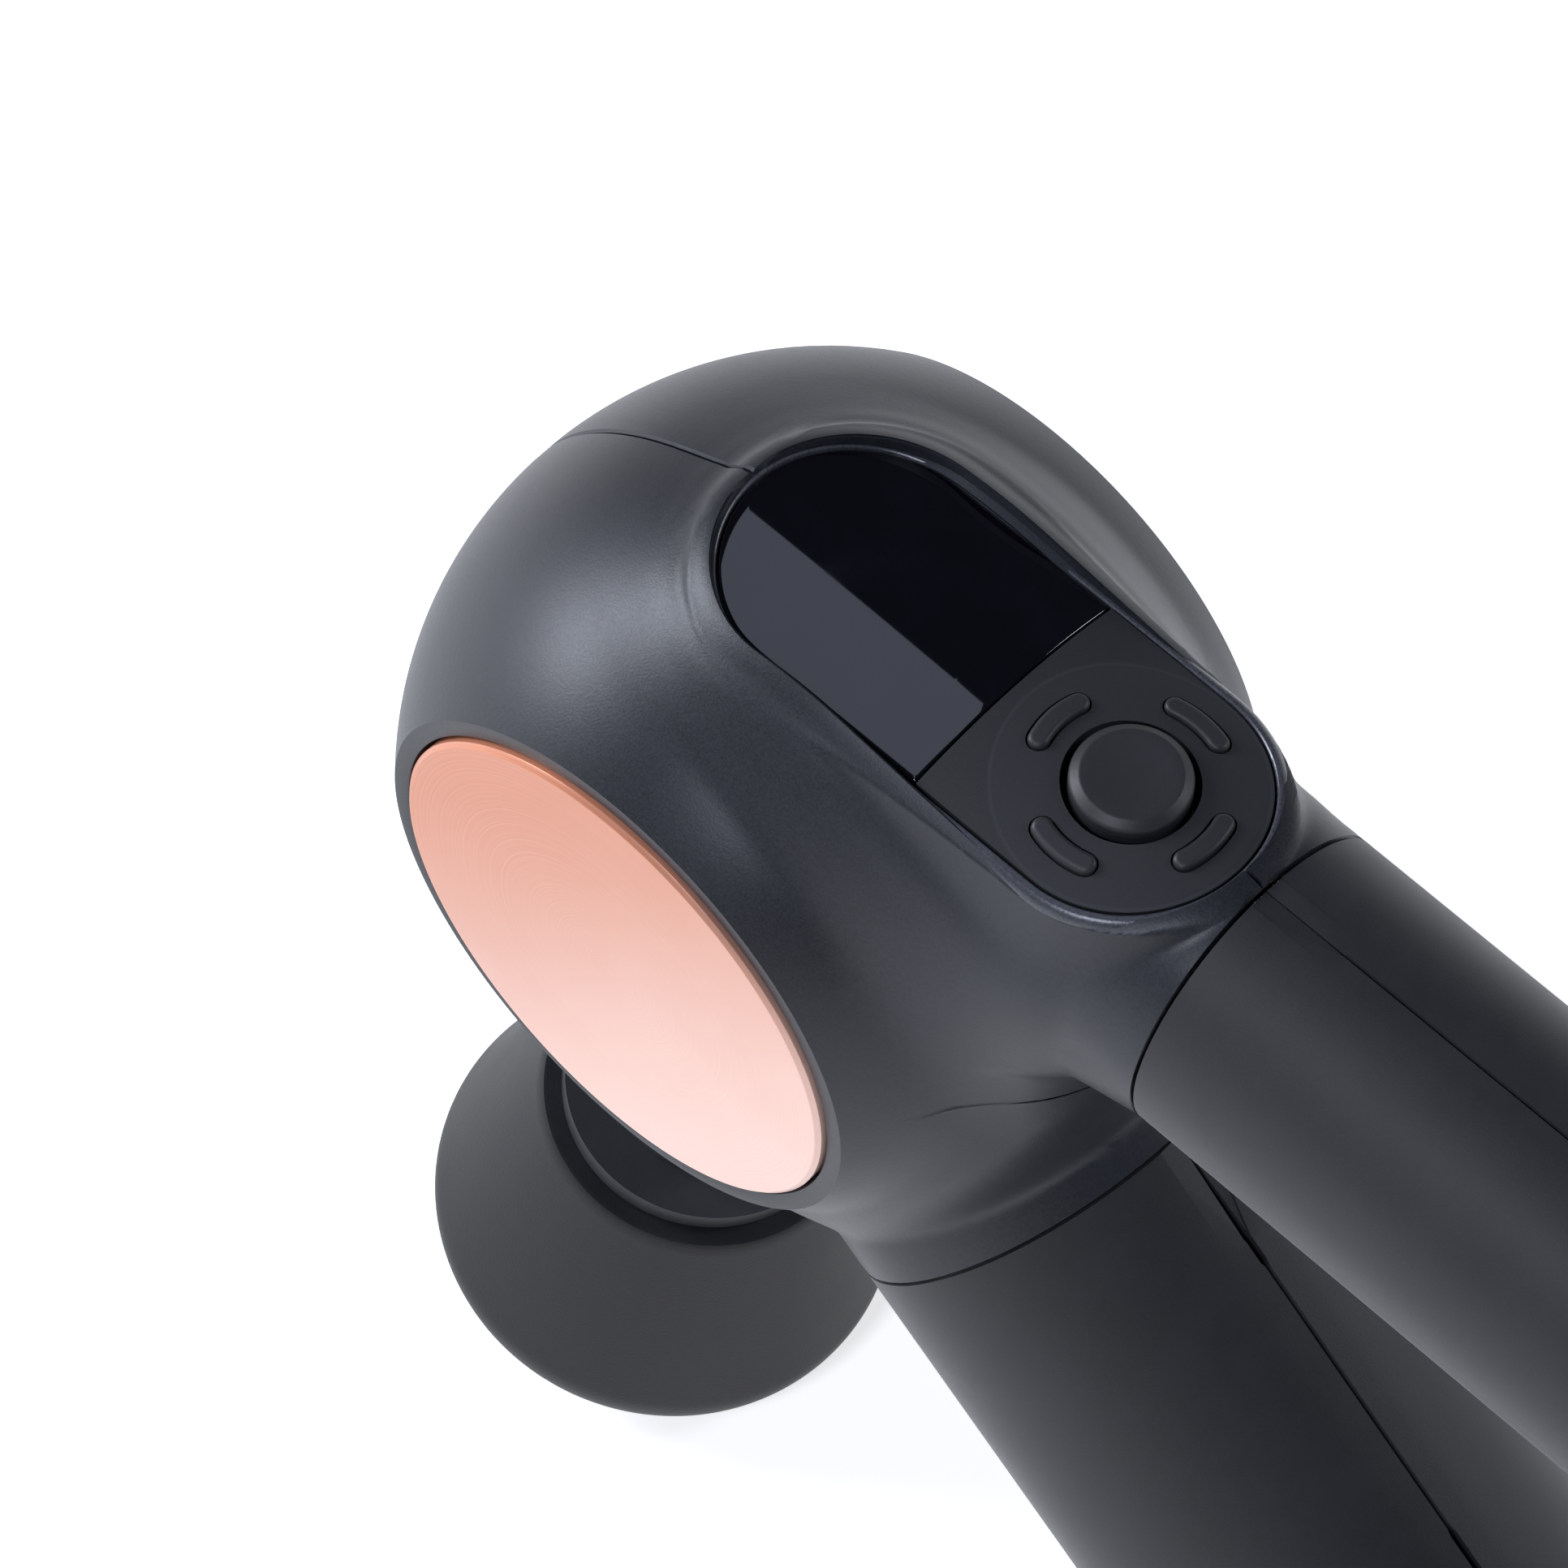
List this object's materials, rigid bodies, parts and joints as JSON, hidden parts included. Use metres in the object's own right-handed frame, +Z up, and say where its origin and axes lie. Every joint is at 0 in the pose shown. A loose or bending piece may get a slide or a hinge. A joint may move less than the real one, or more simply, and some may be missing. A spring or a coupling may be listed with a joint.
{
  "type": "percussion massager",
  "caption": "Handheld percussion massager with a round head, triangular loop handle, flared cushion attachment, screen, button pad and rose-gold side covers.",
  "frame": {"origin": "middle of the whole tool's box; the head's centre, where the motor's axis crosses the plunger's, is 74.3 mm forward (-X) and 42.9 mm up (+Z) of it", "axes": "+X from the head back along the upper arm, +Y across the tool to its right side, +Z up out of the screen"},
  "size_m": [0.246, 0.0664, 0.1819],
  "materials": {
    "shell": "satin bead-blasted charcoal",
    "soft_grip": "soft-touch silicone, charcoal",
    "rose_metal": "satin rose-gold anodised",
    "screen_glass": "gloss black",
    "display_plastic": "matte",
    "pad": "matte charcoal",
    "circuit_board": "green solder mask",
    "switch_metal": "plated",
    "inner_plastic": "matte",
    "cast_frame": "die-cast",
    "lamination": "varnished stack",
    "copper_winding": "enamelled copper",
    "rotor_steel": "machined",
    "magnet": "plated magnet",
    "polished_steel": "ground and polished",
    "brass_weight": "machined",
    "bronze": "sintered bronze",
    "black_rubber": "matte",
    "cushion_rubber": "closed-cell foam skin, charcoal",
    "cell_wrap": "shrink wrap",
    "natural_plastic": "natural",
    "screw_steel": "zinc plated"
  },
  "bodies": {
    "housing": {"head_shell_left": "shell", "head_shell_right": "shell", "upper_grip_left": "soft_grip", "upper_grip_right": "soft_grip", "lower_grip_left": "soft_grip", "lower_grip_right": "soft_grip", "side_cover_left": "rose_metal", "side_cover_right": "rose_metal", "display_lens": "screen_glass", "display_module": "display_plastic", "control_pad": "pad", "keypad_board": "circuit_board", "dome_switches": "switch_metal", "deck_tray": "inner_plastic", "motor_cradle": "cast_frame", "motor_stator": "lamination", "stator_coils": "copper_winding", "shaft_bearings": "polished_steel", "plunger_bushings": "bronze", "shaft_seal": "black_rubber", "nose_ring": "inner_plastic", "battery_cells": "cell_wrap", "battery_cradle": "natural_plastic", "cell_links": "switch_metal", "main_board": "circuit_board", "charge_socket": "inner_plastic", "motor_mounts": "black_rubber", "motor_screws": "screw_steel", "head_screws": "screw_steel", "grip_screws": "screw_steel"},
    "rotor": {"rotor_can": "rotor_steel", "rotor_magnets": "magnet", "motor_shaft": "polished_steel", "crank_disc": "rotor_steel", "counterweight": "brass_weight", "crank_pin": "polished_steel"},
    "plunger_assembly": {"plunger": "polished_steel", "wrist_pin": "polished_steel", "post_ring": "black_rubber"},
    "rod": {"connecting_rod": "rotor_steel", "rod_bearing": "polished_steel"},
    "attachment": {"attachment_core": "inner_plastic", "attachment_cushion": "cushion_rubber"},
    "centre_button_body": {"centre_button": "pad"},
    "front_button_body": {"front_button": "pad"},
    "rear_button_body": {"rear_button": "pad"},
    "left_button_body": {"left_button": "pad"},
    "right_button_body": {"right_button": "pad"}
  },
  "joints": [
    {"name": "plunger_slide", "type": "slide", "parent": "housing", "child": "plunger_assembly", "axis": [-0.1736, 0, -0.9848], "range_m": [0, 0.016]},
    {"name": "rotor_spin", "type": "hinge", "parent": "housing", "child": "rotor", "pos_m": [-0.07427, 0, 0.04289], "axis": [0, 1, 0], "continuous": true},
    {"name": "rod_swing", "type": "hinge", "parent": "plunger_assembly", "child": "rod", "pos_m": [-0.07878, 0, 0.01728], "axis": [0, 1, 0], "range_deg": [-13.6, 13.6]},
    {"name": "attachment_pull", "type": "slide", "parent": "plunger_assembly", "child": "attachment", "axis": [-0.1736, 0, -0.9848], "range_m": [0, 0.022]},
    {"name": "centre_button_press", "type": "slide", "parent": "housing", "child": "centre_button_body", "axis": [0, 0, -1], "range_m": [0, 0.00045], "stiffness_N_per_m": 1500},
    {"name": "front_button_press", "type": "slide", "parent": "housing", "child": "front_button_body", "axis": [0, 0, -1], "range_m": [0, 0.00045], "stiffness_N_per_m": 1500},
    {"name": "rear_button_press", "type": "slide", "parent": "housing", "child": "rear_button_body", "axis": [0, 0, -1], "range_m": [0, 0.00045], "stiffness_N_per_m": 1500},
    {"name": "left_button_press", "type": "slide", "parent": "housing", "child": "left_button_body", "axis": [0, 0, -1], "range_m": [0, 0.00045], "stiffness_N_per_m": 1500},
    {"name": "right_button_press", "type": "slide", "parent": "housing", "child": "right_button_body", "axis": [0, 0, -1], "range_m": [0, 0.00045], "stiffness_N_per_m": 1500}
  ]
}
